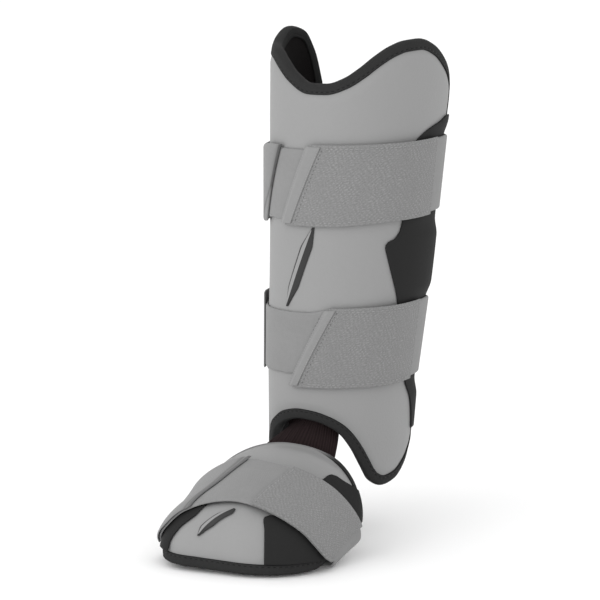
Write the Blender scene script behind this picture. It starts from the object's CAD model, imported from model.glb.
# %% [markdown]
# This scene dresses a padded leg guard for the left leg. The real one is a shin guard and a foot
# guard, each a sandwich of foam between smooth synthetic leather and a dark knitted lining, with a
# tape sewn over the raw edge and straps of hook and loop webbing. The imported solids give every
# piece its size and place. Here each piece is made again on the same surfaces, but finely, with
# rounded edges, seams, stitches and cloth that reads as cloth.

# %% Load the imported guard
import bisect
import math
from functools import partial

import bmesh
import bpy
import numpy as np
from mathutils import Matrix, Vector
from mathutils.bvhtree import BVHTree


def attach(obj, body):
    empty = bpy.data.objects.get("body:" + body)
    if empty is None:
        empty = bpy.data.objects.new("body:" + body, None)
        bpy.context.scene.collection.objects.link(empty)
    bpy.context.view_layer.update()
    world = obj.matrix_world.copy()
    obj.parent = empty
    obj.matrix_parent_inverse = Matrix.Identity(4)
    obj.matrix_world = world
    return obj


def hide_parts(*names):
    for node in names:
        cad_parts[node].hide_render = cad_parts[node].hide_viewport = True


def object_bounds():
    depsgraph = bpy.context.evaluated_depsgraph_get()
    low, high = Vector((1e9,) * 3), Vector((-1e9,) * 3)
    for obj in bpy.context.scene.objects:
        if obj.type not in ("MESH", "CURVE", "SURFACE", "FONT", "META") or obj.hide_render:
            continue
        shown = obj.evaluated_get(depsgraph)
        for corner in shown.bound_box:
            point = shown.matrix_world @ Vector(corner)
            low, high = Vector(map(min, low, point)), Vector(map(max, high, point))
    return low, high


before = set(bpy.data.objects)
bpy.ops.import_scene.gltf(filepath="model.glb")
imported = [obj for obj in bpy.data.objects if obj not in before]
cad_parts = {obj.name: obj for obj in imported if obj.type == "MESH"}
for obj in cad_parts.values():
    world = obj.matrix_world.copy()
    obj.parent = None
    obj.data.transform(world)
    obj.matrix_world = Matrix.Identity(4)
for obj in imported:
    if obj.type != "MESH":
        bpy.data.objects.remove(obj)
cad_low, cad_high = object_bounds()
print("nodes to dress:", len(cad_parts))


# %% [markdown]
# Every length below is a real one, in metres, and repeats the guard's own construction, so that a
# fine mesh lies exactly where its plain solid does. A seat is the clearance under a piece, and a
# wall is the thickness of a piece.

# %% Sizes of the guard
# Walls and clearances
GAP = 0.0003
SHELL_WALL = 0.0055
LINING_WALL = 0.003
TAPE = 0.0012
PANEL_WALL = 0.001
WEBBING = 0.0016
FACING_WALL = 0.001
END_WALL = 0.0022
LINK_WALL = 0.002
BADGE_WALL = 0.0014
WALL = SHELL_WALL + GAP + LINING_WALL

# The padding is sewn thinner towards its edges, and the tape folds over them
TAPE_WIDTH = 0.0060
RIM_TAPE_WIDTH = 0.0028
PAD_SHOULDER = 0.012
PINCH_OUTSIDE = 0.0024
PINCH_INSIDE = 0.0016

# Shin guard: one padded wall bent round the front and the sides of the leg
CALF_HALF_WIDTH = 0.064
FRONT_DEPTH = 1.04
BACK_DEPTH = 1.0
SQUARENESS = 2.15
SHIN_RISE = 0.177
SHIN_DROP = 0.1515
WRAP = 118.0
STRAP_SQUEEZE = 0.0025

# Straps
UPPER_STRAP_AT = 0.071
LOWER_STRAP_AT = -0.0482
STRAP_HEIGHT = 0.057
NARROW_STRAP = 0.052
LOWER_TRIM = 0.006
FACING_HEIGHT = 0.0595
STRAP_RISE = 0.0026
UPPER_TAPER = 0.0026
UPPER_DROP = 0.0035
STRAP_SEAT = 0.0006
PANEL_STEP = 0.0014
PANEL_TUCK = 0.0025
EDGE_STEP = 0.0006
EDGE_TUCK = 0.0017
PANEL_SEAT = 0.0005
PATCH_SEAT = 0.0004

# Foot guard: a dome over the instep and the toes, open below and at the back
FOOT_LENGTH = 0.108
FOOT_HALF_WIDTH = 0.0625
FOOT_HEIGHT = 0.0702
FOOT_TURN = 8.0
FOOT_SIDE_SHIFT = 0.0015
FOOT_TUCK = 0.004
FOOT_ROLL = 0.028
TOE_AT = Vector((0.0062, -0.1268, -0.1864))
SIDE_LIFT = 0.017
OUTER_TOE_CUT = 0.048
INNER_TOE_CUT = 0.025
BACK_CUT = 0.014
FOOT_PANEL_SEAT = 0.0008
FOOT_PATCH_SEAT = 0.0006
FOOT_STRAP_SEAT = 0.0029
FOOT_STRAP_DROP = 0.0034


# %% [markdown]
# Forms that change along the leg are short tables. Reading a table between its rows along a smooth
# curve that never overshoots gives flowing sections from a handful of rows, which is easier to
# correct by hand than a sculpted mesh.

# %% Tables with named columns
class Table:
    """Rows of numbers under named columns, read between the rows along a smooth curve."""

    def __init__(self, columns, rows):
        self.keys = [row[0] for row in rows]
        self.values = {}
        self.slopes = {}
        for k, name in enumerate(columns.split()):
            values = [row[k] for row in rows]
            self.values[name] = values
            self.slopes[name] = level_slopes(self.keys, values)

    def at(self, column, x):
        keys, values, slopes = self.keys, self.values[column], self.slopes[column]
        x = min(max(x, keys[0]), keys[-1])
        k = min(bisect.bisect_right(keys, x) - 1, len(keys) - 2)
        span = keys[k + 1] - keys[k]
        t = (x - keys[k]) / span
        return (
            values[k] * (1 + 2 * t) * (1 - t) ** 2
            + values[k + 1] * t * t * (3 - 2 * t)
            + span * (slopes[k] * t * (1 - t) ** 2 - slopes[k + 1] * t * t * (1 - t))
        )


def level_slopes(keys, values):
    """A slope at each row, which is level at a peak so that the curve never overshoots."""
    steps = [(b - a) / (q - p) for a, b, p, q in zip(values, values[1:], keys, keys[1:])]
    middle = [0.0 if a * b <= 0 else 2 * a * b / (a + b) for a, b in zip(steps, steps[1:])]
    return [steps[0]] + middle + [steps[-1]]


# %% Sections and outlines of the guard
# Sections of the shin guard. HEIGHT runs from 0 at its lowest point to 1 at its highest, and the
# other columns are shares of CALF_HALF_WIDTH.
SHIN_SECTIONS = Table("HEIGHT HALF_WIDTH SIDE_SHIFT", [
    (0.00, 0.788, -0.023),
    (0.11, 0.813, -0.008),
    (0.31, 0.859, 0.012),
    (0.46, 0.909, 0.060),
    (0.65, 0.953, 0.094),
    (0.80, 0.990, 0.113),
    (0.90, 1.012, 0.130),
    (1.00, 1.014, 0.134),
])

# Edge of the shin guard. ANGLE is in degrees round the leg from the front towards the outer side,
# TOP is a share of SHIN_RISE and BOTTOM of SHIN_DROP.
SHIN_OUTLINE = Table("ANGLE TOP BOTTOM", [
    (-118, 0.750, 0.790),
    (-111, 0.883, 0.880),
    (-101, 0.968, 0.935),
    (-86, 0.990, 0.980),
    (-70, 0.962, 1.000),
    (-58, 0.938, 0.965),
    (-50, 0.935, 0.885),
    (-45, 0.931, 0.815),
    (-40, 0.925, 0.765),
    (-30, 0.892, 0.722),
    (-18, 0.842, 0.681),
    (-4, 0.804, 0.663),
    (8, 0.806, 0.668),
    (20, 0.832, 0.689),
    (30, 0.874, 0.725),
    (40, 0.923, 0.794),
    (50, 0.960, 0.888),
    (60, 0.979, 0.970),
    (72, 0.983, 0.998),
    (86, 0.955, 0.985),
    (100, 0.897, 0.940),
    (111, 0.835, 0.880),
    (118, 0.760, 0.790),
])

# Front edge of the dark panel on the outer side. HEIGHT is a share of SHIN_RISE, and SEAM is the
# angle where the panel starts, as a share of WRAP.
PANEL_SEAM = Table("HEIGHT SEAM", [
    (-0.650, 0.890),
    (-0.570, 0.856),
    (-0.430, 0.763),
    (-0.112, 0.585),
    (0.119, 0.458),
    (0.150, 0.446),
    (0.167, 0.453),
    (0.183, 0.500),
    (0.215, 0.534),
    (0.255, 0.545),
    (0.560, 0.580),
    (0.620, 0.695),
    (0.643, 0.811),
    (0.661, 0.890),
])

# Sections of the foot guard from its back rim, at 0, to its toe edge, at 1. HALF_WIDTH and SHIFT, to
# the outer side, are shares of FOOT_HALF_WIDTH, and CROWN is one of FOOT_HEIGHT. OUTER and INNER are
# how boxy the arch is on the side of the little toe and on the side of the big toe.
FOOT_SECTIONS = Table("ALONG HALF_WIDTH SHIFT CROWN OUTER INNER", [
    (0.00, 1.050, 0.030, 1.000, 2.40, 1.96),
    (0.12, 1.060, 0.030, 0.930, 2.35, 1.90),
    (0.24, 1.050, 0.028, 0.858, 2.30, 1.82),
    (0.50, 1.010, 0.012, 0.745, 2.20, 1.78),
    (0.78, 0.980, 0.000, 0.596, 2.00, 1.94),
    (0.88, 0.965, 0.000, 0.480, 2.00, 2.00),
    (0.95, 0.955, 0.000, 0.303, 2.00, 2.00),
    (1.00, 0.940, 0.000, 0.000, 2.00, 2.00),
])

# Edges of the two dark panels on the dome, as turns from its middle line towards each side
OUTER_SEAM = Table("ALONG TURN", [
    (0.00, 1.21),
    (0.12, 0.86),
    (0.165, 0.64),
    (0.22, 0.60),
    (0.50, 0.57),
    (0.78, 0.55),
    (0.81, 0.43),
    (0.84, 0.375),
    (0.90, 0.43),
    (1.00, 0.51),
])
INNER_SEAM = Table("ALONG TURN", [
    (0.50, -0.60),
    (0.76, -0.40),
    (0.86, -0.48),
    (0.92, -0.71),
    (0.97, -0.86),
    (1.00, -0.90),
])

# Edges of the strap over the dome. TURN is a share of a quarter turn, and FRONT and BACK are shares
# of the way from the back rim to the toe edge.
FOOT_STRAP_EDGES = Table("TURN FRONT BACK", [
    (-1.00, 0.870, 0.180),
    (-0.80, 0.895, 0.190),
    (-0.62, 0.880, 0.205),
    (-0.45, 0.828, 0.225),
    (-0.17, 0.800, 0.262),
    (0.00, 0.792, 0.310),
    (0.25, 0.808, 0.335),
    (0.54, 0.845, 0.318),
    (0.69, 0.890, 0.302),
    (0.84, 0.935, 0.265),
    (1.00, 0.965, 0.190),
])
print("table rows:", sum(len(t.keys) for t in (SHIN_SECTIONS, SHIN_OUTLINE, PANEL_SEAM, FOOT_SECTIONS)))


# %% [markdown]
# Much of the guard is one thing passing into another: a strap lifts over a panel little by little,
# and a narrow stretch grows wide again. A smooth ramp and a mix of two values say all of that in
# one line each, so no curve has to be drawn for them.

# %% Small helpers for blending numbers
def ramp(x, low, high):
    """0 below low, 1 above high and a smooth rise between them. It falls where low is above high."""
    t = min(max((x - low) / (high - low), 0.0), 1.0)
    return t * t * (3 - 2 * t)


def mix(a, b, t):
    return a + (b - a) * t


def signed_power(x, power):
    return math.copysign(abs(x) ** power, x)


# %% [markdown]
# The shin guard is one padded wall bent round the leg. A point on it is named by its angle round
# the leg and its height, plus how far it stands proud of the outer face. With that one function,
# a strap, a panel or a stitch needs no fitting: it is the same point, a little further out.

# %% The shin guard's surface
def upper_taper(level, angle):
    """The upper strap narrows from below on the outer side."""
    return UPPER_TAPER * ramp(angle, 15, 60) if level == UPPER_STRAP_AT else 0.0


def strap_centre(level, angle):
    """The height of a strap's middle. The upper one also drops on the inner side."""
    rise = level + STRAP_RISE * math.sin(math.radians(angle)) + upper_taper(level, angle) / 2
    if level == UPPER_STRAP_AT:
        rise -= UPPER_DROP * ramp(angle, -34, -60) * ramp(angle, -175, -125)
    return rise


def squeeze(angle, z):
    """How far the straps pull the padding in, on the outer side and behind it."""
    side = ramp(angle, 60, 100) if angle > 0 else ramp(angle, -130, -180)
    aways = [abs(z - level) / (STRAP_HEIGHT / 2) for level in (LOWER_STRAP_AT, UPPER_STRAP_AT)]
    return STRAP_SQUEEZE * side * max(ramp(away, 1.5, 1.02) for away in aways)


def shin_at(angle, z, proud=0.0):
    """The point at an angle in degrees round the leg and a height, proud of the padded outer face."""
    height = (z + SHIN_DROP) / (SHIN_RISE + SHIN_DROP)
    half = CALF_HALF_WIDTH * SHIN_SECTIONS.at("HALF_WIDTH", height)
    shift = CALF_HALF_WIDTH * SHIN_SECTIONS.at("SIDE_SHIFT", height)
    front = FRONT_DEPTH * half
    out = proud - squeeze(angle, z)
    sine, cosine = math.sin(math.radians(angle)), math.cos(math.radians(angle))
    depth = (front if cosine > 0 else BACK_DEPTH * half) + out
    reach = abs(sine / (half + out)) ** SQUARENESS + abs(cosine / depth) ** SQUARENESS
    radius = reach ** (-1 / SQUARENESS)
    return Vector((shift + radius * sine, front - WALL - radius * cosine, z))


def shin_edge(angle, side):
    if side == "TOP":
        return SHIN_RISE * SHIN_OUTLINE.at("TOP", angle)
    return -SHIN_DROP * SHIN_OUTLINE.at("BOTTOM", angle)


def degrees_for(length):
    """The angle that a length takes up round the shin guard."""
    return math.degrees(length / CALF_HALF_WIDTH)


def edge_band(angle, side, width):
    """The height that a band of this width takes up where the edge slopes."""
    step = 1.0
    slope = (shin_edge(angle + step, side) - shin_edge(angle - step, side)) / 2
    return width * math.hypot(1, slope * degrees_for(1.0))


# %% [markdown]
# The foot guard is a dome. Its ribs run across the foot from the inner to the outer bottom edge,
# named by a turn in radians, and they follow each other from the back rim to the toes.

# %% The foot guard's surface
TURN = math.radians(FOOT_TURN)
FORWARD = Vector((math.sin(TURN), -math.cos(TURN), 0))
OUTWARD = Vector((math.cos(TURN), math.sin(TURN), -FOOT_ROLL))
UP = Vector((0, 0, 1))
QUARTER = math.pi / 2


def foot_back(side):
    """How far the back rim lies behind the toe edge, at a share of the width from -1 to 1."""
    return FOOT_LENGTH - BACK_CUT * abs(side) ** 2.2


def foot_front(side):
    """How far the toe edge curves back. The little toe's side is cut back further."""
    inner = min(max((-side - 0.55) / 0.45, 0), 1)
    outer = min(max((side - 0.10) / 0.90, 0), 1)
    cut = INNER_TOE_CUT * (1 - math.sqrt(1 - inner * inner))
    return cut + OUTER_TOE_CUT * (1 - math.sqrt(1 - outer * outer))


def side_lift(back):
    """How far the bottom edge rises at this distance behind the toes."""
    share = min(max(back / FOOT_LENGTH - 0.33, 0) / 0.54, 1)
    return SIDE_LIFT * share ** 1.3


def foot_section(turn, along):
    """Share of the width, share of the arch's height and half width of a rib, at turn radians."""
    power = 2 / FOOT_SECTIONS.at("OUTER" if turn > 0 else "INNER", along)
    side = signed_power(math.sin(turn), power)
    arch = abs(math.cos(turn)) ** power
    return side, arch, FOOT_HALF_WIDTH * FOOT_SECTIONS.at("HALF_WIDTH", along)


def foot_skin(turn, along):
    """A point on the padded outer face."""
    side, arch, half = foot_section(turn, along)
    back = mix(foot_back(side), foot_front(side), along)
    middle_back = foot_back(0) * (1 - along)
    crown = FOOT_HEIGHT * FOOT_SECTIONS.at("CROWN", along) - side_lift(middle_back)
    tuck = FOOT_TUCK * (1 - arch) ** 3 * (1 - along)
    shift = FOOT_SIDE_SHIFT + FOOT_HALF_WIDTH * FOOT_SECTIONS.at("SHIFT", along)
    across = shift + side * (half - tuck)
    return TOE_AT + across * OUTWARD - back * FORWARD + (side_lift(back) + crown * arch) * UP


def foot_normal(turn, along):
    """The way out of the dome, from steps wide enough to be sound at its corners."""
    step, stride = 0.07, 0.03
    turn = min(max(turn, step - QUARTER), QUARTER - step)
    along = min(max(along, stride), 1 - stride)
    across = foot_skin(turn + step, along) - foot_skin(turn - step, along)
    down = foot_skin(turn, along + stride) - foot_skin(turn, along - stride)
    normal = down.cross(across).normalized()
    outside = UP + 0.3 * FORWARD + 0.3 * math.sin(turn) * OUTWARD
    return normal if normal.dot(outside) > 0 else -normal


def foot_at(turn, along, proud=0.0):
    return foot_skin(turn, along) + proud * foot_normal(turn, along)


# %% [markdown]
# A cut edge of foam is never square: the tape squeezes it, so the padding falls away softly over
# its last centimetre. The distance to the nearest edge is the one number that this needs, and it
# is kept for each point of the fine grids.

# %% Fine grids over the padding
EDGE_RINGS = (0.0, 0.0007, 0.0016, 0.0028, 0.0043, 0.006, 0.0078, 0.0098, PAD_SHOULDER)


def between_edges(low, high, steps, first_rings, last_rings=None):
    """Places from low to high, close together near both ends and evenly spaced between."""
    start = [low + ring for ring in first_rings]
    end = [high - ring for ring in reversed(last_rings or first_rings)]
    return start + np.linspace(start[-1], end[0], steps + 1).tolist()[1:-1] + end


def soft_least(a, b, blend=0.004):
    """The smaller of two distances, rounded where they are nearly the same."""
    overlap = max(blend - abs(a - b), 0.0) / blend
    return max(min(a, b) - overlap * overlap * blend / 4, 0.0)


class Grid:
    """Points in columns and rows on a padded wall, each with its distance from the edge."""

    def __init__(self, columns, rows, place, spot, inset):
        self.columns = columns
        self.rows = rows
        self.place = place
        self.spot = spot
        self.inset = inset

    def border(self, ring):
        """The edge points in order, each with a point a few rings in from it."""
        last_i, last_j = self.columns - 1, self.rows - 1
        around = [(i, 0) for i in range(last_i)]
        around += [(last_i, j) for j in range(last_j)]
        around += [(i, last_j) for i in range(last_i, 0, -1)]
        around += [(0, j) for j in range(last_j, 0, -1)]
        inner = [(min(max(i, ring), last_i - ring), min(max(j, ring), last_j - ring)) for i, j in around]
        return list(zip(around, inner))


def make_shin_grid(across, up):
    angles = between_edges(-WRAP, WRAP, across, [degrees_for(ring) for ring in EDGE_RINGS])
    heights, insets = [], []
    for angle in angles:
        low, high = shin_edge(angle, "BOTTOM"), shin_edge(angle, "TOP")
        bands = [[edge_band(angle, side, ring) for ring in EDGE_RINGS] for side in ("BOTTOM", "TOP")]
        column = between_edges(low, high, up, *bands)
        scale = [edge_band(angle, side, 1.0) for side in ("BOTTOM", "TOP")]
        aside = (WRAP - abs(angle)) / degrees_for(1.0)
        heights.append(column)
        insets.append([soft_least(aside, min((z - low) / scale[0], (high - z) / scale[1])) for z in column])

    def place(i, j, proud):
        return shin_at(angles[i], heights[i][j], proud)

    def spot(i, j):
        return angles[i] / degrees_for(1.0), heights[i][j]

    return Grid(len(angles), len(heights[0]), place, spot, lambda i, j: insets[i][j])


# %% [markdown]
# The dome has no even spacing of its own, because its ribs are long at the back and short at the
# toes. So each rib and each line along it is first measured, and its points are then put where their
# lengths say. That keeps the rings along the edge parallel to it.

# %% Fine grid over the dome
CURVE_SAMPLES = 161
DOME_LINES = 33


def path_lengths(points):
    """How far along a path each of its points lies."""
    steps = np.linalg.norm(np.diff(np.array(points, float), axis=0), axis=1)
    return np.concatenate([[0], np.cumsum(steps)])


def arc_values(curve, low, high, steps, first_rings=EDGE_RINGS, last_rings=EDGE_RINGS):
    """Values whose points lie the rings in from a curve's ends, and each one's distance to an end."""
    values = np.linspace(low, high, CURVE_SAMPLES).tolist()
    lengths = path_lengths([curve(value) for value in values])
    whole = float(lengths[-1])
    wanted = between_edges(0.0, whole, steps, first_rings, last_rings)
    return np.interp(wanted, lengths, values).tolist(), [min(w, whole - w) for w in wanted]


def make_foot_grid(across, forward):
    samples = np.linspace(-QUARTER, QUARTER, DOME_LINES).tolist()
    lines = [
        arc_values(lambda along, turn=turn: foot_skin(turn, along), 0, 1, forward) for turn in samples
    ]
    rows = len(lines[0][0])

    def along_at(turn, j):
        return float(np.interp(turn, samples, [line[0][j] for line in lines]))

    ribs = [
        arc_values(lambda turn, j=j: foot_skin(turn, along_at(turn, j)), -QUARTER, QUARTER, across)
        for j in range(rows)
    ]

    def place(i, j, proud):
        turn = ribs[j][0][i]
        return foot_at(turn, along_at(turn, j), proud)

    def spot(i, j):
        turn = ribs[j][0][i]
        return turn * FOOT_HALF_WIDTH, along_at(turn, j) * FOOT_LENGTH

    def inset(i, j):
        return soft_least(ribs[j][1][i], lines[0][1][j])

    return Grid(len(ribs[0][0]), rows, place, spot, inset)


shin_grid = make_shin_grid(96, 84)
foot_grid = make_foot_grid(52, 44)
print("shin grid:", shin_grid.columns, "by", shin_grid.rows)
print("foot grid:", foot_grid.columns, "by", foot_grid.rows)


# %% [markdown]
# Cloth and leatherette are told apart by how light and dark play over a few tenths of a
# millimetre, so every finish is built from noise and waves measured in metres. Writing the shader
# maths as plain Python expressions keeps each finish readable: one small class wraps a socket, and
# adding or multiplying two of them adds the Math node.

# %% Shader maths as Python expressions
CLOTH_MAP = "cloth"
SHADE = "shade"
TURNED = "turned"


class Signal:
    """A shader socket that Python's own operators work on."""

    def __init__(self, finish, socket):
        self.finish = finish
        self.socket = socket

    def math(self, operation, first, second):
        return self.finish.node("ShaderNodeMath", {"operation": operation}, {0: first, 1: second})

    def __add__(self, other):
        return self.math("ADD", self, other)

    def __sub__(self, other):
        return self.math("SUBTRACT", self, other)

    def __rsub__(self, other):
        return self.math("SUBTRACT", other, self)

    def __mul__(self, other):
        return self.math("MULTIPLY", self, other)

    __radd__ = __add__
    __rmul__ = __mul__


class Finish:
    """One material, and the one way to add any node to it."""

    def __init__(self, name, slot, **surface):
        self.slot = slot
        self.material = bpy.data.materials.new(name)
        self.material.use_nodes = True
        self.tree = self.material.node_tree
        self.surface = self.tree.nodes["Principled BSDF"].inputs
        for socket, value in surface.items():
            title = socket.replace("_", " ").title().replace("Ior", "IOR")
            self.surface[title].default_value = value

    def node(self, kind, settings, inputs, output=0):
        """A new node, with its settings made first, and each input fed by a value or a signal."""
        made = self.tree.nodes.new(kind)
        for name, value in settings.items():
            setattr(made, name, value)
        for name, value in inputs.items():
            self.feed(made.inputs[name], value)
        return Signal(self, made.outputs[output])

    def feed(self, socket, value):
        if isinstance(value, Signal):
            self.tree.links.new(value.socket, socket)
        else:
            socket.default_value = value

    def cloth_place(self):
        """Where a point lies on its own flat cloth, in metres."""
        return self.node("ShaderNodeUVMap", {"uv_map": CLOTH_MAP}, {})

    def noise(self, scale, detail):
        inputs = {"Scale": scale, "Detail": detail, "Vector": self.cloth_place()}
        return self.node("ShaderNodeTexNoise", {}, inputs)

    def wave(self, per_metre, turn, wander=0.0):
        """A sine wave over the cloth, from 0 to 1, turned by an angle in degrees. It can wander."""
        turned = self.node(
            "ShaderNodeVectorRotate", {"rotation_type": "Z_AXIS"},
            {"Vector": self.cloth_place(), "Angle": math.radians(turn)},
        )
        along = self.node("ShaderNodeSeparateXYZ", {}, {"Vector": turned})
        angle = along * (2 * math.pi * per_metre)
        if wander:
            angle = angle + self.noise(160.0, 2.0) * (2 * math.pi * wander)
        return self.node("ShaderNodeMath", {"operation": "SINE"}, {0: angle}) * 0.5 + 0.5

    def mark(self, name):
        """A number kept on the mesh's points."""
        return self.node("ShaderNodeAttribute", {"attribute_name": name}, {}, output=2)

    def paint(self, colour, brightness):
        """Give the surface a colour, times a signal that is 1 where the colour stays as it is."""
        scaled = self.node("ShaderNodeVectorMath", {"operation": "SCALE"}, {0: colour, 3: brightness})
        self.feed(self.surface["Base Color"], scaled)

    def roughen(self, roughness):
        self.feed(self.surface["Roughness"], roughness)

    def bump(self, height, metres):
        bumped = self.node("ShaderNodeBump", {}, {"Height": height, "Distance": metres})
        self.feed(self.surface["Normal"], bumped)


def grey(level):
    return (level, level, level)


# %% [markdown]
# The shell's synthetic leather is matte and almost plain: a very fine grain, and a slow cloudiness
# where the foam under it gives. The dark panels are the same stuff, darker in the groove beside
# their seams. That groove is marked on the mesh as a shade from 0 to 1, because the mesh knows
# where its own edges are.

# %% Smooth leatherettes: the shell and the dark panels
def leatherette(name, slot, colour, roughness, grain, shine):
    finish = Finish(name, slot, roughness=roughness, specular_ior_level=shine)
    cloud = finish.noise(14.0, 3.0)
    pores = finish.noise(1400.0, 2.0)
    fine = finish.noise(420.0, 3.0)
    finish.paint(colour, 0.975 + 0.05 * cloud + 0.03 * (fine - 0.5) - 0.42 * finish.mark(SHADE))
    finish.roughen(roughness + 0.10 * (pores - 0.5) + 0.06 * (cloud - 0.5))
    finish.bump(pores * 0.6 + fine, grain)
    return finish


shell_leather = leatherette("shell_leatherette", "padded_leatherette", grey(0.270), 0.55, 0.00012, 0.35)
panel_leather = leatherette("panel_leatherette", "dark_panel", grey(0.0215), 0.60, 0.00008, 0.05)


# %% [markdown]
# Loop fabric is a brushed knit. From arm's length it shows a fine diagonal twill that comes and
# goes with the nap, under a light speckle of loops. Two crossed waves give the twill, a slow noise
# fades it in and out, and a fast noise is the speckle. Plain webbing has the same twill, but much
# finer and calmer.

# %% Strap cloths: webbing, loop fabric and label tape
def strap_cloth(name, slot, colour, per_metre, twill, speckle, relief, roughness=0.85, wander=0.0):
    finish = Finish(name, slot, roughness=roughness, sheen_weight=0.10, specular_ior_level=0.2)
    crossed = finish.wave(per_metre, 52, wander) * finish.wave(0.8 * per_metre, -38, wander)
    nap = finish.noise(55.0, 3.0)
    loops = finish.noise(900.0, 1.0)
    fluff = finish.noise(260.0, 4.0)
    strength = nap * 1.6 - 0.3
    tone = 1.0 + twill * (crossed - 0.25) * strength + speckle * (loops - 0.5) + 0.10 * (fluff - 0.5)
    finish.paint(colour, tone + 0.10 * (nap - 0.5) - 0.50 * finish.mark(SHADE))
    finish.bump(crossed * 0.7 + loops + fluff * 0.6, relief)
    return finish


webbing_cloth = strap_cloth("strap_webbing_cloth", "strap_webbing", grey(0.232), 900, 0.05, 0.12, 0.00010)
loop_cloth = strap_cloth(
    "strap_loop_fabric", "loop_fabric", grey(0.218), 480, 0.46, 0.50, 0.00028, roughness=0.95, wander=2.2,
)
label_cloth = strap_cloth("bare_label_tape", "label_tape", grey(0.243), 1300, 0.04, 0.06, 0.00006, 0.6)


# %% [markdown]
# The edge tape is ribbed across its width, and paler where it's turned under at the back rim of the
# foot guard. The lining is a soft dark knit, and the link at the ankle is a stretch cloth with ribs
# down it that catch a slightly warm light. All three are one recipe with other numbers.

# %% Dark cloths: edge tape, lining and link
def ribbed_cloth(name, slot, colour, per_metre, turn, contrast, relief, roughness, turned_gain=0.0):
    finish = Finish(name, slot, roughness=roughness, specular_ior_level=0.10)
    ribs = finish.wave(per_metre, turn)
    wear = finish.noise(60.0, 4.0)
    lint = finish.noise(700.0, 2.0)
    tone = 1.0 + contrast * (ribs - 0.5) + 0.22 * (wear - 0.5) + 0.30 * (lint - 0.5)
    finish.paint(colour, tone - 0.60 * finish.mark(SHADE) + turned_gain * finish.mark(TURNED))
    finish.bump(ribs + lint * 0.5, relief)
    return finish


LINING_COLOUR = (0.0030, 0.0022, 0.0022)
LINK_COLOUR = (0.0175, 0.0112, 0.0116)
tape_cloth = ribbed_cloth("edge_tape_cloth", "edge_tape", grey(0.0265), 1100, 0, 0.18, 0.00012, 0.8, 8.0)
lining_cloth = ribbed_cloth("lining_knit", "dark_lining", LINING_COLOUR, 800, 45, 0.3, 0.0002, 0.9)
link_cloth = ribbed_cloth("link_stretch_cloth", "link_cloth", LINK_COLOUR, 420, 0, 0.45, 0.0003, 0.9)


# %% [markdown]
# A thread is too thin to show a weave, and the moulded badge has none. Both get one plain recipe
# with a slow change of tone, because a colour that is the same everywhere looks like plastic film.

# %% Threads and moulded badge
def plain_finish(name, slot, colour, roughness):
    finish = Finish(name, slot, roughness=roughness)
    lint = finish.noise(300.0, 2.0)
    finish.paint(colour, 0.85 + 0.30 * lint)
    finish.roughen(roughness + 0.10 * (lint - 0.5))
    return finish


light_thread = plain_finish("light_thread", "loop_fabric", grey(0.30), 0.6)
label_thread = plain_finish("label_thread", "loop_fabric", grey(0.11), 0.6)
dark_thread = plain_finish("dark_thread", "edge_tape", grey(0.006), 0.6)
badge_rubber = plain_finish("badge_rubber", "rubber_badge", grey(0.008), 0.42)
badge_pale = plain_finish("badge_pale_facet", "rubber_badge", grey(0.25), 0.38)


# %% [markdown]
# Everything sewn here is a thin wall with rounded edges. One builder makes them all: it takes a
# grid of places, the depth of the wall's two faces at each, and where each place lies on the flat
# cloth, which becomes the UV map that carries the weave.

# %% Build a wall from a grid
def wall_piece(name, node, finish, columns, rows, place, spot, inside, outside, shade=None, closed=False):
    """A wall between two depths over a grid of places, or a closed loop of them."""
    points, shades, index = [], [], {}
    for layer, depth in enumerate((inside, outside)):
        for i in range(columns):
            for j in range(rows):
                index[layer, i, j] = len(points)
                points.append(place(i, j, depth(i, j)))
                shades.append(shade(i, j) if shade else 0.0)
    faces, mapped = [], []

    def quad(*corners):
        faces.append([index[layer, i % columns, j] for layer, i, j in corners])
        mapped.extend(spot(i, j) for _, i, j in corners)

    far, top = columns - 1, rows - 1
    for i in range(columns if closed else far):
        for j in range(top):
            around = ((i, j), (i + 1, j), (i + 1, j + 1), (i, j + 1))
            quad(*[(1, a, b) for a, b in around])
            quad(*[(0, a, b) for a, b in reversed(around)])
        quad((0, i, 0), (0, i + 1, 0), (1, i + 1, 0), (1, i, 0))
        quad((1, i, top), (1, i + 1, top), (0, i + 1, top), (0, i, top))
    if not closed:
        for j in range(top):
            quad((1, 0, j), (1, 0, j + 1), (0, 0, j + 1), (0, 0, j))
            quad((0, far, j), (0, far, j + 1), (1, far, j + 1), (1, far, j))
    return finished_mesh(name, node, finish, points, faces, mapped, shades)


def finished_mesh(name, node, finish, points, faces, mapped=None, shades=None):
    """An object that rides on the guard, stands for its solid and carries its cloth map."""
    mesh = bpy.data.meshes.new(name)
    mesh.from_pydata([tuple(p) for p in points], [], faces)
    layer = mesh.uv_layers.new(name=CLOTH_MAP)
    if mapped is None:
        mapped = [(points[v][0], points[v][2]) for face in faces for v in face]
    layer.data.foreach_set("uv", np.array(mapped, float).ravel())
    marks = mesh.attributes.new(SHADE, "FLOAT", "POINT")
    if shades is not None:
        marks.data.foreach_set("value", np.array(shades, float))
    shape = bmesh.new()
    shape.from_mesh(mesh)
    bmesh.ops.recalc_face_normals(shape, faces=shape.faces[:])
    if shape.calc_volume(signed=True) < 0:
        bmesh.ops.reverse_faces(shape, faces=shape.faces[:])
    shape.to_mesh(mesh)
    shape.free()
    mesh.shade_smooth()
    mesh.materials.append(finish.material)
    piece = bpy.data.objects.new(name, mesh)
    bpy.context.scene.collection.objects.link(piece)
    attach(piece, "root")
    if node:
        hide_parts(node)
    print(name, len(mesh.polygons), "faces")
    return piece


# %% [markdown]
# The padded walls come first, because the tape and the seams are then laid on their real meshes.
# The shell falls away towards its edge as a soft shoulder, and the lining rises to meet it.

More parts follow.
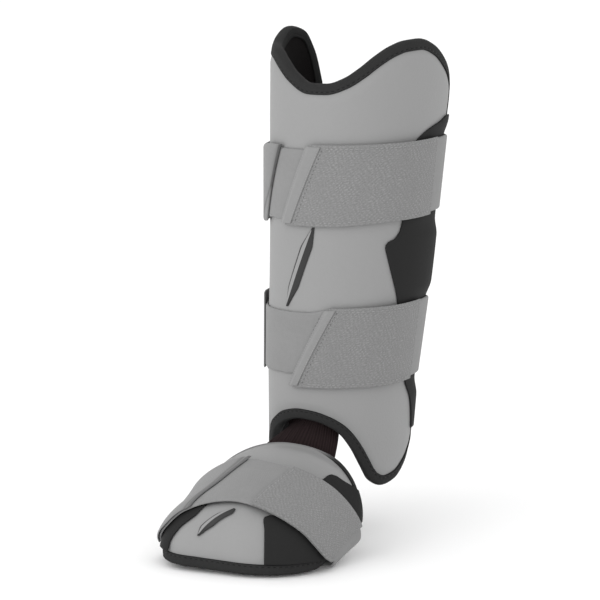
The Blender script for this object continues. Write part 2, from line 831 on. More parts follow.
# %% Padding and lining of both guards
def fall_away(inset):
    """1 at the edge of the padding and 0 from its shoulder inwards."""
    share = min(inset / PAD_SHOULDER, 1.0)
    return (1 - share * share) ** 2


def padding(part, grid):
    def under(i, j):
        return -SHELL_WALL

    def over(i, j):
        return -PINCH_OUTSIDE * fall_away(grid.inset(i, j))

    def lining_under(i, j):
        return -WALL + PINCH_INSIDE * fall_away(grid.inset(i, j))

    def lining_over(i, j):
        return -SHELL_WALL - GAP

    size = (grid.columns, grid.rows, grid.place, grid.spot)
    shell = wall_piece(part + "_padding", part + "_shell", shell_leather, *size, under, over)
    lining = wall_piece(
        part + "_inner_pad", part + "_lining", lining_cloth, *size, lining_under, lining_over,
    )
    return over, lining_under


shin_faces = padding("shin", shin_grid)
foot_faces = padding("foot", foot_grid)


# %% [markdown]
# The tape is one strip folded over the whole edge. Its cross-section is drawn once, as distances
# in from the edge and heights over the padding, and carried round the edge. Each point is dropped
# onto the nearest spot of the padding's face, so the tape follows every curve of it.

# %% Faces of the padding that the tape is laid on
def face_tree(grid, depth):
    points = [grid.place(i, j, depth(i, j)) for i in range(grid.columns) for j in range(grid.rows)]
    faces = []
    for i in range(grid.columns - 1):
        for j in range(grid.rows - 1):
            first = i * grid.rows + j
            faces.append((first, first + grid.rows, first + grid.rows + 1, first + 1))
    return BVHTree.FromPolygons(points, faces)


# Cross-section of one leg of the tape. IN is a share of the tape's width, HEIGHT is in TAPE walls.
TAPE_STITCH_AT = 0.71
TAPE_LEG = Table("IN HEIGHT", [
    (0.00, 1.05),
    (0.30, 1.20),
    (0.52, 1.22),
    (0.63, 1.12),
    (TAPE_STITCH_AT, 0.84),
    (0.79, 1.10),
    (0.93, 0.98),
    (1.00, 0.35),
])
LEG_SHARES = sorted(TAPE_LEG.keys, reverse=True)
LEG_HEIGHTS = [TAPE * TAPE_LEG.at("HEIGHT", share) for share in LEG_SHARES]
print("points on a leg of the tape:", len(LEG_SHARES))


# %% [markdown]
# Stations along the edge have to be evenly spaced, or the ribs of the tape would bunch up at the
# corners of the grid. The way in from the edge is smoothed along them for the same reason.

# %% Stations round an edge
TAPE_STEP = 0.0022
INWARD_RING = 6
TURNED_WIDTH = 0.0010


def smoothed(rows, reach=3):
    """Each row averaged with its neighbours round a closed loop."""
    total = sum(np.roll(rows, shift, axis=0) for shift in range(-reach, reach + 1))
    return total / (2 * reach + 1)


def unit(rows):
    return rows / np.linalg.norm(rows, axis=1)[:, None]


def edge_stations(grid, faces, widths):
    """Each station: points on the outer and inner edge, the way in, the width and how far turned."""
    over, under = faces
    rows = []
    for edge, inner in grid.border(INWARD_RING):
        way = grid.place(*inner, -WALL / 2) - grid.place(*edge, -WALL / 2)
        ends = (*grid.place(*edge, over(*edge)), *grid.place(*edge, under(*edge)))
        rows.append([*ends, *way.normalized(), *widths(*edge)])
    closed = np.array(rows + rows[:1])
    lengths = path_lengths((closed[:, :3] + closed[:, 3:6]) / 2)
    wanted = np.linspace(0, lengths[-1], int(lengths[-1] / TAPE_STEP), endpoint=False)
    even = np.stack([np.interp(wanted, lengths, column) for column in closed.T], axis=1)
    middle = (even[:, :3] + even[:, 3:6]) / 2
    runs = unit(np.roll(middle, -2, axis=0) - np.roll(middle, 2, axis=0))
    ways = even[:, 6:9] - runs * (even[:, 6:9] * runs).sum(axis=1)[:, None]
    even[:, 6:9] = unit(smoothed(unit(ways)))
    even[:, 9:] = smoothed(even[:, 9:])
    return even


def shin_tape_width(i, j):
    """The tape's width, and how far it's turned under from 0 to 1."""
    return TAPE_WIDTH + GAP, 0.0


def foot_tape_width(i, j):
    """At the middle of the foot guard's back rim the tape is narrow and turned under."""
    if j > 0:
        return TAPE_WIDTH, 0.0
    share = 2 * i / (foot_grid.columns - 1) - 1
    return mix(TURNED_WIDTH, RIM_TAPE_WIDTH, ramp(share, 0.20, 0.34)), ramp(share, 0.34, 0.20)


shin_stations = edge_stations(shin_grid, shin_faces, shin_tape_width)
foot_stations = edge_stations(foot_grid, foot_faces, foot_tape_width)
print("stations round the edges:", len(shin_stations), "and", len(foot_stations))


# %% [markdown]
# At each station the tape's profile runs over the outer face, round the nose of the edge, back along
# the inner face, and home through the middle of the fold, so that the tape is a closed wall.

# %% Fold the tape over the edges
NOSE_POINTS = 7
PALE_NOSE_POINTS = 5
NOSE_TURNS = np.linspace(0, math.pi, NOSE_POINTS + 2)[1:-1].tolist()
NOSE_REACH = (1.1, 0.6)
TURNED_WALL = 0.35
SEWN_BELOW = 0.3


def tape_leg(tree, edge, step_in, out):
    """Spots on a face of the padding under one leg of the tape, each with its way out."""
    leg = []
    for share in LEG_SHARES:
        spot, normal, _, _ = tree.find_nearest(edge + step_in * share)
        leg.append((spot, normal if normal.dot(out) > 0 else -normal))
    return leg


def tape_profile(trees, station):
    """Points round the tape's cross-section, and the spot of its seam with its way out."""
    outer_edge, inner_edge, way = (Vector(station[k:k + 3].tolist()) for k in (0, 3, 6))
    width, turned = station[9:].tolist()
    across = (outer_edge - inner_edge).normalized()
    outer = tape_leg(trees[0], outer_edge, way * width, across)
    inner = tape_leg(trees[1], inner_edge, way * width, -across)
    thinner = mix(1, TURNED_WALL, turned)
    over = [spot + out * height * thinner for (spot, out), height in zip(outer, LEG_HEIGHTS)]
    under = [spot + out * height for (spot, out), height in zip(inner, LEG_HEIGHTS)]
    middle, half = (over[-1] + under[-1]) / 2, (over[-1] - under[-1]) / 2
    reach = (TAPE + 2 * GAP) * mix(*NOSE_REACH, turned)
    nose = [middle + half * math.cos(turn) - way * reach * math.sin(turn) for turn in NOSE_TURNS]
    home_inside, home_outside = (spot + out * GAP / 2 for spot, out in (inner[0], outer[0]))
    fold = [mix(inner_edge, outer_edge, share) - way * GAP / 2 for share in (0.1, 0.9)]
    profile = over + nose + under[::-1] + [home_inside] + fold + [home_outside]
    stitch = LEG_SHARES.index(TAPE_STITCH_AT)
    return profile, (over[stitch], outer[stitch][1])


def tape_shade(m):
    """The tape is dark along its sewn groove and at its rim, and it's worn by the leg inside."""
    if m < len(LEG_SHARES):
        return 1.0 if LEG_SHARES[m] in (1.0, TAPE_STITCH_AT) else 0.0
    return 0.0 if m < len(LEG_SHARES) + NOSE_POINTS else 0.75


def edge_tape(name, node, grid, faces, stations):
    """The whole tape of one guard. It gives back the line of its seam."""
    trees = [face_tree(grid, depth) for depth in faces]
    profiles, seam = zip(*[tape_profile(trees, station) for station in stations])
    count, size = len(profiles), len(profiles[0])
    across = path_lengths(profiles[0]).tolist()
    across.append(across[-1] + GAP)
    corners, mapped = [], []
    for k in range(count):
        here, after = k * size, (k + 1) % count * size
        for m in range(size):
            n = (m + 1) % size
            corners.append([here + m, after + m, after + n, here + n])
            around = ((k, m), (k + 1, m), (k + 1, m + 1), (k, m + 1))
            mapped += [(a * TAPE_STEP, across[b]) for a, b in around]
    points = [point for profile in profiles for point in profile]
    shades = [tape_shade(m) for _ in profiles for m in range(size)]
    piece = finished_mesh(name, node, tape_cloth, points, corners, mapped, shades)
    pale = len(LEG_SHARES) + PALE_NOSE_POINTS
    turned = [station[10] if m < pale else 0.0 for station in stations for m in range(size)]
    marks = piece.data.attributes.new(TURNED, "FLOAT", "POINT")
    marks.data.foreach_set("value", np.array(turned, float))
    return [spot for spot, station in zip(seam, stations) if station[10] < SEWN_BELOW]


shin_seam = edge_tape("shin_edge_tape", "shin_binding", shin_grid, shin_faces, shin_stations)
foot_seam = edge_tape("foot_edge_tape", "foot_binding", foot_grid, foot_faces, foot_stations)


# %% [markdown]
# Stitches are real bits of thread, because their small shadows are what the eye reads as sewing.
# Each is a short six-sided capsule that dips into the cloth at both ends. All the stitches of a
# seam are joined into one mesh.

# %% Sewing
STITCH_PITCH = 0.0036
STITCH_LENGTH = 0.0022
THREAD = 0.00028
THREAD_SIDES = 6
TAPE_SEWING = (dark_thread, 0.0042, 0.0027, 0.00042)

# Rings of a stitch: how far along it each lies, as a share of its length, and how full it is
CAPSULE = ((-0.5, 0.3), (-0.3, 1.0), (0.3, 1.0), (0.5, 0.3))


def sew(name, runs, finish, pitch=STITCH_PITCH, length=STITCH_LENGTH, thread=THREAD):
    """Stitches along each run of (point, way out), spaced by their pitch."""
    points, faces = [], []
    for run in runs:
        places, outs = (np.array(rows, float) for rows in zip(*run))
        lengths = path_lengths(places)

        def read(rows, where):
            return Vector([float(np.interp(where, lengths, column)) for column in rows.T])

        for at in np.arange(pitch / 2, lengths[-1] - length / 2, pitch).tolist():
            centre, out = read(places, at), read(outs, at).normalized()
            along = (read(places, at + length / 2) - read(places, at - length / 2)).normalized()
            side = along.cross(out)
            start = len(points)
            for share, full in CAPSULE:
                middle = centre + along * share * length - out * thread * (1 - full)
                for k in range(THREAD_SIDES):
                    turn = 2 * math.pi * k / THREAD_SIDES
                    spoke = side * math.cos(turn) + out * math.sin(turn)
                    points.append(middle + spoke * thread * full)
            ends = range(start, len(points), THREAD_SIDES)
            for ring in ends[:-1]:
                for k in range(THREAD_SIDES):
                    a, b = ring + k, ring + (k + 1) % THREAD_SIDES
                    faces.append([a, b, b + THREAD_SIDES, a + THREAD_SIDES])
            faces.append([ends[0] + k for k in reversed(range(THREAD_SIDES))])
            faces.append([ends[-1] + k for k in range(THREAD_SIDES)])
    finished_mesh(name, None, finish, points, faces)


sew("shin_tape_stitches", [shin_seam + shin_seam[:1]], *TAPE_SEWING)
sew("foot_tape_stitches", [foot_seam], *TAPE_SEWING)


# %% [markdown]
# Panels, straps, facings and labels are all patches: thin cloth with a rounded rim, laid on a
# surface. A patch is named by shares from 0 to 1 across and up, which keeps its outline free to
# slant or curve. Its grooves, ridges and dark lines are given as lines beside its edges.

# %% Build a patch
ROUNDING = (0.0, 0.12, 0.35, 0.7, 1.0)
START, END, LOW, HIGH = range(4)


def crease(distance, at, width):
    """1 on a line that lies a little in from an edge, and 0 a few widths away from it."""
    return math.exp(-((distance - at) / width) ** 2)


def lines_beside(*lines):
    """A sum of lines, each with its edge, its height, how far in from the edge it lies and its width."""
    def total(*near):
        return sum(height * crease(near[edge], at, width) for edge, height, at, width in lines)
    return total


def rim_shares(count, size, radius):
    """Shares from 0 to 1 with extra ones inside the rounded rim at both ends."""
    rings = [radius * share / size for share in ROUNDING]
    return between_edges(0.0, 1.0, count, rings)


def patch(name, node, finish, spot, lay, flat, steps, wall, seat, relief=None, shade=None, closed=False):
    """spot(s, t) gives surface coordinates, lay(a, b, proud) a point, and flat its size in metres."""
    width, height = flat
    radius = min(1.3 * wall, 0.2 * min(width, height))
    if closed:
        across = np.linspace(0, 1, steps[0], endpoint=False).tolist()
    else:
        across = rim_shares(steps[0], width, radius)
    up = rim_shares(steps[1], height, radius)
    count = len(across)

    def near_edges(i, j):
        s, t = across[i % count], up[j]
        return s * width, (1 - s) * width, t * height, (1 - t) * height

    def place(i, j, proud):
        return lay(*spot(across[i % count], up[j]), proud)

    def cloth(i, j):
        return (across[i % count] + i // count) * width, up[j] * height

    def inside(i, j):
        return seat

    def outside(i, j):
        near = near_edges(i, j)
        rim = min(near[LOW:] if closed else near) / radius
        rounded = math.sqrt(max(1 - (1 - min(rim, 1.0)) ** 2, 0.0))
        extra = relief(*near) if relief else 0.0
        return seat + wall * (0.25 + 0.75 * rounded) + extra * rounded

    def shaded(i, j):
        return shade(*near_edges(i, j)) if shade else 0.0

    return wall_piece(name, node, finish, count, len(up), place, cloth, inside, outside, shaded, closed)


def as_shares(s, t):
    return s, t


# %% [markdown]
# The side panel is a dark leatherette patch with a notch in its front edge. Its rim is turned
# under and stitched, so it stands a little proud and has a fine groove just inside its seam.

# %% Side panel of the shin guard
PANEL_BACK = WRAP - degrees_for(TAPE_WIDTH + 2 * GAP)
PANEL_LOW, PANEL_HIGH = (PANEL_SEAM.keys[end] * SHIN_RISE for end in (0, -1))
PANEL_MEAN_START = 66
PANEL_SPAN = (PANEL_BACK - PANEL_MEAN_START) / degrees_for(1.0)
SEAM_IN = 0.0022


def side_panel_spot(s, t):
    z = mix(PANEL_LOW, PANEL_HIGH, t)
    seam = min(WRAP * PANEL_SEAM.at("SEAM", z / SHIN_RISE), PANEL_BACK - 2)
    return mix(seam, PANEL_BACK, s), z


seam_groove = lines_beside((START, -0.0003, SEAM_IN, 0.0006))
seam_shade = lines_beside((START, 0.5, SEAM_IN, 0.0005))
patch(
    "side_panel_skin", "side_panel", panel_leather, side_panel_spot, shin_at,
    (PANEL_SPAN, PANEL_HIGH - PANEL_LOW), (30, 110), PANEL_WALL, PANEL_SEAT, seam_groove, seam_shade,
)


# %% [markdown]
# Each strap is a whole loop of webbing. It is straight across its height, as webbing under tension
# is, and it rides over the side panel and the taped back edges.

# %% Loops of the shin straps
LOOP_LENGTH = 2 * math.pi * CALF_HALF_WIDTH


def lift_over_parts(angle):
    """How far the straps ride over the side panel and the taped back edges."""
    outer = PANEL_STEP * ramp(angle, 34, 62) - PANEL_TUCK * ramp(angle, PANEL_BACK + 1, WRAP + 1)
    inner = EDGE_STEP * ramp(angle, -70, -104) - EDGE_TUCK * ramp(angle, -125, -170)
    return STRAP_SEAT + outer + inner


def strap_away(level, angle, share):
    """How far from its middle a loop lies, at a share of the way up its webbing.

    The webbing is narrower between its folded end and the label, most of all below on the lower one.
    """
    narrow = ramp(angle, -75, -55) * ramp(angle, 20, 0)
    height = mix(STRAP_HEIGHT, NARROW_STRAP, narrow) - upper_taper(level, angle)
    trim = LOWER_TRIM * narrow if level == LOWER_STRAP_AT else 0.0
    return mix(trim - height / 2, height / 2, share)


def strap_at(level, angle, away, proud):
    """A point on a strap, which is straight across its height, at a height away from its middle."""
    middle = strap_centre(level, angle)
    rise = proud + lift_over_parts(angle)
    ends = [shin_at(angle, middle + side * STRAP_HEIGHT, rise) for side in (-0.5, 0.5)]
    return mix(*ends, away / STRAP_HEIGHT + 0.5)


def strap_loop(level, s, t):
    angle = 360 * s - 180
    return angle, strap_away(level, angle, t)


for prefix, level in (("upper", UPPER_STRAP_AT), ("lower", LOWER_STRAP_AT)):
    patch(
        prefix + "_strap_loop", prefix + "_strap", webbing_cloth, partial(strap_loop, level),
        partial(strap_at, level), (LOOP_LENGTH, STRAP_HEIGHT), (200, 14), WEBBING, 0.0, closed=True,
    )


# %% [markdown]
# On the front the strap is several layers: the folded end on the inner side, the wide loop fabric
# on the outer side, and a slanted label tape sewn over the start of the loop fabric. The fold has
# a soft rolled hem, which reads as two dark lines.

# %% Lines in the strap layers
HEM = 0.0030
HEM_OPEN_BELOW = 0.45
HEM_OPENING = 0.012
SEWN_IN = 0.0030

hem_relief = lines_beside((END, 0.0004, HEM / 2, 0.0010), (END, -0.0005, HEM, 0.0007))
soft_hem_shade = lines_beside(
    (END, 0.45, 0.0048, 0.0012), (END, 0.45, 0.0006, 0.0012), (END, 0.32, 0.0025, 0.0045),
)
facing_relief = lines_beside(
    (LOW, -0.00035, SEWN_IN, 0.0008), (HIGH, -0.00035, SEWN_IN, 0.0008), (END, -0.0003, SEWN_IN, 0.0008),
)
label_shade = lines_beside((END, 0.35, 0.0, 0.0006), (START, 0.15, 0.0, 0.0006))


def end_relief(*near):
    """The folded end is thick over its own turned layers and thin at its hem."""
    return hem_relief(*near) - (END_WALL - FACING_WALL) * ramp(near[END], 0.012, 0.003)


def hem_shade(*near):
    """A hem's two dark lines part towards its lower end, where the folded cloth lies open."""
    up_share = near[LOW] / (near[LOW] + near[HIGH])
    opened = max(HEM_OPEN_BELOW - up_share, 0.0) / HEM_OPEN_BELOW
    lines = lines_beside(
        (END, 0.85, 0.0014 + HEM_OPENING * opened, 0.0013),
        (END, 0.60, 0.0, 0.0009),
        (END, 0.40 * (1 - opened), 0.0015, 0.0030),
    )
    return lines(*near)


print("a hem's relief at its fold:", round(hem_relief(1, HEM / 2, 1, 1) * 1000, 2), "mm")


# %% [markdown]
# A layer's outline is two slanted ends, each given as the angles of its foot and its top. Its sewing
# is laid on afterwards, along a row or a column of the same patch, so a seam can't miss its cloth.

# %% Slanted layers and the seams along them
LABEL_SEWING = (light_thread, 0.0020, 0.0012, 0.00022)
JOIN_SEWING = (label_thread, 0.0031, 0.0013, 0.00030)
EDGE_SEWING = (label_thread, 0.0031, 0.0013, 0.00026)


def slanted(level, height, start, end, tilt=0.0):
    def spot(s, t):
        angle = mix(mix(*start, t), mix(*end, t), s)
        return angle, (t - 0.5) * (height - upper_taper(level, angle)) + tilt
    return spot


def shifted(ends, degrees):
    return tuple(angle + degrees for angle in ends)


def patch_width(start, end):
    return (sum(end) - sum(start)) / 2 / degrees_for(1.0)


def row(t):
    return lambda share: (share, t)


def column(s):
    return lambda share: (s, share)


def edge_run(lay, spot, at, proud, start, end, steps=60):
    """Points and ways out along a patch, from start to end. at(share) gives a place (s, t) on it."""
    run = []
    for share in np.linspace(start, end, steps).tolist():
        a, b = spot(*at(share))
        point = lay(a, b, proud)
        run.append((point, (lay(a, b, proud + 0.002) - point).normalized()))
    return run


def label_lay(level, label, height):
    """The label's free edge is pressed down to the webbing, beside the start of the loop fabric."""
    spot = slanted(level, height, *label)
    width = patch_width(*label)

    def lay(s, t, proud):
        sink = FACING_WALL * ramp(s * width, 0.0045, 0.0010)
        return strap_at(level, *spot(s, t), proud - sink)
    return lay


# %% [markdown]
# Each shin strap carries three layers: loop fabric round its outer side for the hooks to grip, a bare
# label over the start of that fabric, and a folded end on the inner side. One function dresses both
# straps, so only the angles, the lower strap's tilt and the shade under its fold are given apart.

# %% Layers on the shin straps
FACING_END = (92, 92)
FACING_TUCK = 4
END_BACK = (-106, -106)
LABEL_CLOTH = 0.0005
LABEL_EASE = 0.003
LABEL_SEAM_IN = 0.0010
JOIN_BESIDE = 2.2
LOWER_TILT = 0.006


def dress_strap(prefix, level, label, fold, tilt, fold_shade):
    """Facing, folded end, label and seams. Ends are pairs of angles, at their foot and at their top."""
    lay = partial(strap_at, level)
    over_webbing = WEBBING + PATCH_SEAT
    top = over_webbing + FACING_WALL
    over_facing = top + GAP / 2
    label_start, label_end = label

    facing_start = shifted(label_start, FACING_TUCK)
    facing = slanted(level, FACING_HEIGHT, facing_start, FACING_END)
    facing_size = (patch_width(facing_start, FACING_END), FACING_HEIGHT)
    patch(
        prefix + "_loop_facing", prefix + "_strap_facing", loop_cloth, facing, lay,
        facing_size, (90, 26), FACING_WALL, over_webbing, facing_relief,
    )
    folded = slanted(level, STRAP_HEIGHT, END_BACK, fold, tilt)
    folded_size = (patch_width(END_BACK, fold), STRAP_HEIGHT)
    patch(
        prefix + "_folded_end", prefix + "_strap_end", webbing_cloth, folded, lay,
        folded_size, (60, 20), END_WALL, over_webbing, end_relief, fold_shade,
    )
    label_size = (patch_width(*label), FACING_HEIGHT - LABEL_EASE)
    pressed = label_lay(level, label, label_size[1])
    patch(
        prefix + "_bare_label", prefix + "_label", label_cloth, as_shares, pressed,
        label_size, (18, 26), LABEL_CLOTH, over_facing, shade=label_shade,
    )

    in_share = SEWN_IN / FACING_HEIGHT
    runs = [edge_run(lay, facing, row(t), top, 0.12, 0.97, 120) for t in (in_share, 1 - in_share)]
    sew(prefix + "_facing_stitches", runs, light_thread)
    in_share = LABEL_SEAM_IN / label_size[0]
    on_label = over_facing + LABEL_CLOTH
    runs = [edge_run(pressed, as_shares, column(s), on_label, 0.03, 0.97) for s in (in_share, 1 - in_share)]
    sew(prefix + "_label_stitches", runs, *LABEL_SEWING)
    beside = shifted(label_end, JOIN_BESIDE)
    runs = [edge_run(lay, slanted(level, FACING_HEIGHT, beside, beside), column(0.0), top, 0.05, 0.95)]
    sew(prefix + "_join_stitches", runs, *JOIN_SEWING)
    edge = slanted(level, FACING_HEIGHT, label_start, label_start)
    sew(prefix + "_edge_stitches", [edge_run(lay, edge, column(0.0), WEBBING, 0.16, 0.90)], *EDGE_SEWING)


dress_strap("upper", UPPER_STRAP_AT, ((-23, -3.3), (-12.7, 7.9)), (-43, -23), 0.0, hem_shade)
dress_strap("lower", LOWER_STRAP_AT, ((-12, 14.5), (-3, 22.5)), (-58, -56), LOWER_TILT, soft_hem_shade)


# %% [markdown]
# A plain slanted bar of rubber is moulded on the shin, and another on the toes. Each has a ridge
# down its middle, so that it catches light on one side and shade on the other. Flat shading keeps
# the ridge crisp, where smooth shading would round it away.

# %% Plain badges
BAR_COLUMNS = 9
PALE_COLUMNS = (1, 2, 3)
BAR_TIP = 0.18
BAR_FLARE = 3.4
BADGE_LENGTH = 0.060
BADGE_HALF_ANGLE = 4.6
BADGE_LEAN = (-17, 3)
BADGE_AT = 0.0105
FOOT_BAR_TURNS = (-0.38, 0.0)
FOOT_BAR_HALF_TURN = 0.085
FOOT_BAR_ALONG = (0.95, 0.83)


def bar_piece(name, node, place, steps, low):
    """A bar with pointed ends. place(across, share, proud) takes across from -1 to 1."""
    def across_at(i):
        return 2 * i / (BAR_COLUMNS - 1) - 1

    def at(i, j, proud):
        return place(across_at(i), j / (steps - 1), proud)

    def spot(i, j):
        return i * 0.001, j * 0.001

    def inside(i, j):
        return low

    def outside(i, j):
        across = abs(across_at(i))
        return low + BADGE_WALL * (0.25 + 0.75 * (1 - across) if across < 0.99 else 0.15)

    piece = wall_piece(name, node, badge_rubber, BAR_COLUMNS, steps, at, spot, inside, outside)
    piece.data.materials.append(badge_pale.material)
    piece.data.shade_flat()
    for i in PALE_COLUMNS:
        for j in range(1, steps - 2):
            piece.data.polygons[2 * (i * steps + j)].material_index = 1


def bar_width(share):
    """How wide a plain bar is along its length, as a share of its full width."""
    return min(1.0, BAR_FLARE * min(share, 1 - share) + BAR_TIP)


def shin_bar(across, share, proud):
    angle = mix(*BADGE_LEAN, share) + BADGE_HALF_ANGLE * bar_width(share) * across
    return shin_at(angle, (share - 0.5) * BADGE_LENGTH + BADGE_AT, proud)


def foot_bar(across, share, proud):
    turn = mix(*FOOT_BAR_TURNS, share) + FOOT_BAR_HALF_TURN * bar_width(share) * across
    return foot_at(turn, mix(*FOOT_BAR_ALONG, share), proud)


bar_piece("shin_plain_badge", "shin_badge", shin_bar, 31, GAP)
bar_piece("foot_plain_badge", "foot_badge", foot_bar, 25, FOOT_PANEL_SEAT)


# %% [markdown]
# The foot guard's two dark panels reach from a curved seam down to the taped edge. Their rows are
# spaced by length over the dome, which keeps their cloth even over the round toe.

# %% Panels of the foot guard
PANEL_INTO_TAPE = 0.0005
PANEL_TOP = 0.35
PANEL_FLAT = (0.045, 0.11)
INNER_PANEL_START = 0.52
LOW_TURNS = {}


def inside_tape(curve, low, high):
    """The values on a curve where the tape at its two ends leaves room for a panel."""
    rings = [(0.0, width - PANEL_INTO_TAPE) for width in (RIM_TAPE_WIDTH, TAPE_WIDTH)]
    values = arc_values(curve, low, high, 2, *rings)[0]
    return values[1], values[-2]


def low_turn(along, side):
    """The turn where the tape along the bottom edge begins, worked out once for each place."""
    key = (round(along, 3), side)
    if key not in LOW_TURNS:
        LOW_TURNS[key] = inside_tape(lambda turn: foot_skin(turn, along), 0, side * QUARTER)[1]
    return LOW_TURNS[key]


def foot_panel(name, node, side, seam, first, steps):
    """A dark panel on the side 1 or -1, from its seam down to the tape, back to a first row."""
    shares = np.linspace(0, 1, 9).tolist()
    lines = []
    for share in shares:
        def spine(along, turn=mix(PANEL_TOP, 1, share) * QUARTER * side):
            return foot_skin(turn, along)
        start, end = inside_tape(spine, 0, 1)
        lines.append(arc_values(spine, max(start, first), end, 40, (0.0,), (0.0,))[0])
    lines = np.array(lines)
    places = np.linspace(0, 1, lines.shape[1])

    def spot(s, t):
        """The row depends on the turn and the turn on the row, so a few rounds settle both."""
        alongs = [float(np.interp(t, places, line)) for line in lines]
        share = s
        for _ in range(5):
            along = float(np.interp(share, shares, alongs))
            turn = mix(seam.at("TURN", along), low_turn(along, side), s)
            share = (abs(turn) / QUARTER - PANEL_TOP) / (1 - PANEL_TOP)
        return turn, along

    patch(
        name, node, panel_leather, spot, foot_at, PANEL_FLAT, steps, PANEL_WALL, FOOT_PANEL_SEAT,
        seam_groove, seam_shade,
    )


foot_panel("foot_outer_panel_skin", "foot_outer_panel", 1, OUTER_SEAM, 0.0, (24, 56))
foot_panel("foot_inner_panel_skin", "foot_inner_panel", -1, INNER_SEAM, INNER_PANEL_START, (16, 36))


# %% [markdown]
# One strap crosses the instep and runs back under the sole. Over the dome its edges are a table of
# turns. Under the sole it is drawn straight between the two bottom edges.

# %% Foot strap
ARCH_SHARE = 0.76
FOOT_LOOP = 0.31
FOOT_STRAP_WIDTH = 0.062


def foot_strap_over(turn, spread, proud):
    """A point over the dome, at a share spread of the way from the strap's front edge to its back."""
    edges = [FOOT_STRAP_EDGES.at(name, turn / QUARTER) for name in ("FRONT", "BACK")]
    return foot_at(turn, mix(*edges, spread), proud + FOOT_STRAP_SEAT)


def foot_strap_loop(s, spread, proud):
    if s <= ARCH_SHARE:
        return foot_strap_over(mix(-QUARTER, QUARTER, s / ARCH_SHARE), spread, proud)
    outer, inner = (foot_strap_over(turn, spread, proud) for turn in (QUARTER, -QUARTER))
    share = (s - ARCH_SHARE) / (1 - ARCH_SHARE)
    place = mix(outer, inner, 0.5 - 0.5 * math.cos(math.pi * share))
    return place - (FOOT_STRAP_DROP + proud) * ramp(min(share, 1 - share), -0.02, 0.10) * UP


patch(
    "foot_strap_webbing", "foot_strap", webbing_cloth, as_shares, foot_strap_loop,
    (FOOT_LOOP, FOOT_STRAP_WIDTH), (170, 24), WEBBING, 0.0, closed=True,
)


# %% [markdown]
# The foot strap is layered as the shin straps are: loop fabric on the outer side of the instep, and a
# folded end on the inner side. A layer's ends are turns, each at its front and at its back, and it
# reaches a little past the webbing's own edges, as the real layers do.

# %% Layers on the foot strap
FOOT_FACING = ((0.18, 0.26), (1.44, 1.44))
FOOT_FACING_REACH = (-0.02, 1.02)
FOOT_FACING_WIDTH = 0.076
FOOT_END = ((-1.46, -1.46), (-0.57, -0.28))
FOOT_END_REACH = (-0.01, 1.02)
FOOT_END_WIDTH = 0.062
FOOT_TOP = WEBBING + FOOT_PATCH_SEAT


def foot_layer(start, end, reach):
    def spot(s, t):
        return mix(mix(*start, t), mix(*end, t), s), mix(*reach, t)
    return spot


front_hem_relief = lines_beside((LOW, -0.0004, 0.0026, 0.0007))
front_hem_shade = lines_beside((LOW, 1.0, 0.0024, 0.0006), (LOW, 0.5, 0.0, 0.0005))
facing = foot_layer(*FOOT_FACING, FOOT_FACING_REACH)
patch(
    "foot_loop_facing", "foot_strap_facing", loop_cloth, facing, foot_strap_over,
    (FOOT_FACING_WIDTH, FOOT_STRAP_WIDTH), (70, 30), FACING_WALL, FOOT_TOP,
    front_hem_relief, front_hem_shade,
)
folded = foot_layer(*FOOT_END, FOOT_END_REACH)
patch(
    "foot_folded_end", "foot_strap_end", webbing_cloth, folded, foot_strap_over,
    (FOOT_END_WIDTH, FOOT_STRAP_WIDTH), (60, 30), FACING_WALL, FOOT_TOP, hem_relief, soft_hem_shade,
)
run = edge_run(foot_strap_over, facing, column(0.03), FOOT_TOP + FACING_WALL, 0.04, 0.96)
sew("foot_facing_stitches", [run], light_thread)


# %% [markdown]
# A dark stretch cloth joins the two guards at the ankle. It comes out from inside the shin guard,
# hollows a little where the ankle bends, and goes in under the foot guard's rim. Its cut size is the
# width between its two outer lines and the length of its path from seam to seam.

# %% Ankle link
LINK_SPREAD = Table("ACROSS ANGLE TURN", [(-1, -34, -0.62), (0, -2, -0.02), (1, 29, 0.55)])
LINK_SHIN_ROWS = (0.016, 0.004, -0.003)
LINK_FOOT_ROWS = (0.0, 0.10, 0.19)
LINK_HOLLOW = Vector((0, 0.002, 0.002))
LINK_FLAT = (0.066, 0.060)
LINK_RIB = 0.00025
LINK_RIB_PITCH = 0.0035


def link_path(across, proud):
    """Points down the link from inside the shin guard to inside the foot guard."""
    depth = proud - WALL - TAPE - 2 * GAP
    angle, turn = LINK_SPREAD.at("ANGLE", across), LINK_SPREAD.at("TURN", across)
    edge = shin_edge(angle, "BOTTOM")
    shin = [shin_at(angle, edge + up, depth) for up in LINK_SHIN_ROWS]
    foot = [foot_at(turn, along, depth) for along in LINK_FOOT_ROWS]
    return shin + [mix(shin[-1], foot[0], 0.5) + LINK_HOLLOW] + foot


def link_at(across, share, proud):
    """A point on the link, on a smooth curve through its path."""
    path = link_path(across, proud)
    place = share * (len(path) - 1)
    k = min(int(place), len(path) - 2)
    before, start = path[max(k - 1, 0)], path[k]
    end, after = path[k + 1], path[min(k + 2, len(path) - 1)]
    t = place - k
    way_in, way_out = (end - before) / 2, (after - start) / 2
    return (
        start * (1 + 2 * t) * (1 - t) ** 2 + end * t * t * (3 - 2 * t)
        + way_in * t * (1 - t) ** 2 - way_out * t * t * (1 - t)
    )


def link_spot(s, t):
    return 2 * s - 1, t


def link_relief(*near):
    return LINK_RIB * math.sin(near[START] * 2 * math.pi / LINK_RIB_PITCH)


link = patch(
    "ankle_link_cloth", "ankle_link", link_cloth, link_spot, link_at, LINK_FLAT, (70, 40),
    LINK_WALL, -LINK_WALL, link_relief,
)


# %% [markdown]
# The photograph is a studio shot on white, taken from the front and a little to the outer side.
# The camera's place comes from its angles, its distance and one measured scale: how many
# millimetres of the guard one pixel covers.

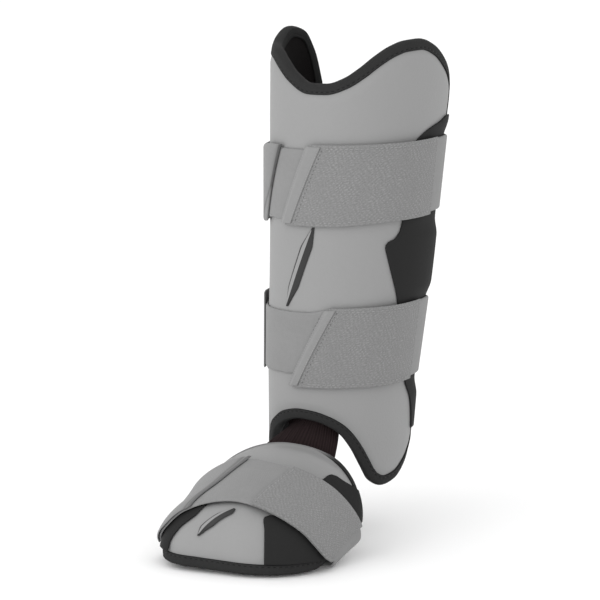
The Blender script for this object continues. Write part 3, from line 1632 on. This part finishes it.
# %% Camera at the photograph's angle
AZIMUTH, ELEVATION = 32, 10.5
DISTANCE = 2.5
METRES_PER_PIXEL = 0.00074
FRAME_PIXELS = 600
TARGET = Vector((0, 0.0592, 0))
TARGET_PIXEL = (352, 268)


def way_to(azimuth, elevation):
    """The way from the guard towards a camera or a light, at angles in degrees from its front."""
    turn, rise = math.radians(azimuth), math.radians(elevation)
    return Vector((math.sin(turn) * math.cos(rise), -math.cos(turn) * math.cos(rise), math.sin(rise)))


back = way_to(AZIMUTH, ELEVATION)
right = UP.cross(back).normalized()
up = back.cross(right)
aside = (TARGET_PIXEL[0] - FRAME_PIXELS / 2) * METRES_PER_PIXEL
above = (FRAME_PIXELS / 2 - TARGET_PIXEL[1]) * METRES_PER_PIXEL
camera = bpy.data.objects.new("photo_camera", bpy.data.cameras.new("photo_camera"))
camera.data.sensor_width = 36
camera.data.lens = DISTANCE / METRES_PER_PIXEL * camera.data.sensor_width / FRAME_PIXELS
camera.matrix_world = Matrix.Translation(TARGET - right * aside - up * above + back * DISTANCE) @ (
    Matrix((right, up, back)).transposed().to_4x4()
)
bpy.context.scene.collection.objects.link(camera)
bpy.context.scene.camera = camera
print("lens", round(camera.data.lens, 1), "mm")


# %% [markdown]
# A bright, even world stands for a white studio. One large soft light from the front left gives
# the gentle fall of light across the shin, and the pale floor carries the soft contact shadow.

# %% Floor, light and world
FLOOR_SIZE = 24.0
FLOOR_DROP = 0.0006
FLOOR_CORNERS = ((-0.5, -0.5), (0.5, -0.5), (0.5, 0.5), (-0.5, 0.5))
FLOOR_PAINT = (0.98, 0.98, 0.98, 1)
WORLD_STRENGTH = 1.10
LIGHT_DISTANCE = 2.4

floor_level = cad_low[2] - FLOOR_DROP
floor_mesh = bpy.data.meshes.new("studio_floor")
corners = [(x * FLOOR_SIZE, y * FLOOR_SIZE, floor_level) for x, y in FLOOR_CORNERS]
floor_mesh.from_pydata(corners, [], [(0, 1, 2, 3)])
floor_finish = Finish("studio_floor_paint", None, base_color=FLOOR_PAINT, roughness=0.9)
floor_mesh.materials.append(floor_finish.material)
floor = bpy.data.objects.new("studio_floor", floor_mesh)
bpy.context.scene.collection.objects.link(floor)

world = bpy.data.worlds.new("studio")
world.use_nodes = True
world.node_tree.nodes["Background"].inputs["Color"].default_value = (1, 1, 1, 1)
world.node_tree.nodes["Background"].inputs["Strength"].default_value = WORLD_STRENGTH
bpy.context.scene.world = world
bpy.context.scene.view_settings.view_transform = "Standard"


def soft_light(name, azimuth, elevation, size, power):
    """A square light aimed at the middle of the guard."""
    data = bpy.data.lights.new(name, "AREA")
    data.size = size
    data.energy = power
    way = way_to(azimuth, elevation)
    light = bpy.data.objects.new(name, data)
    light.location = TARGET + way * LIGHT_DISTANCE
    light.rotation_mode = "QUATERNION"
    light.rotation_quaternion = way.to_track_quat("Z", "Y")
    bpy.context.scene.collection.objects.link(light)
    print(name, size, "m across,", power, "W")


soft_light("key_light", -20, 20, 2.0, 14)
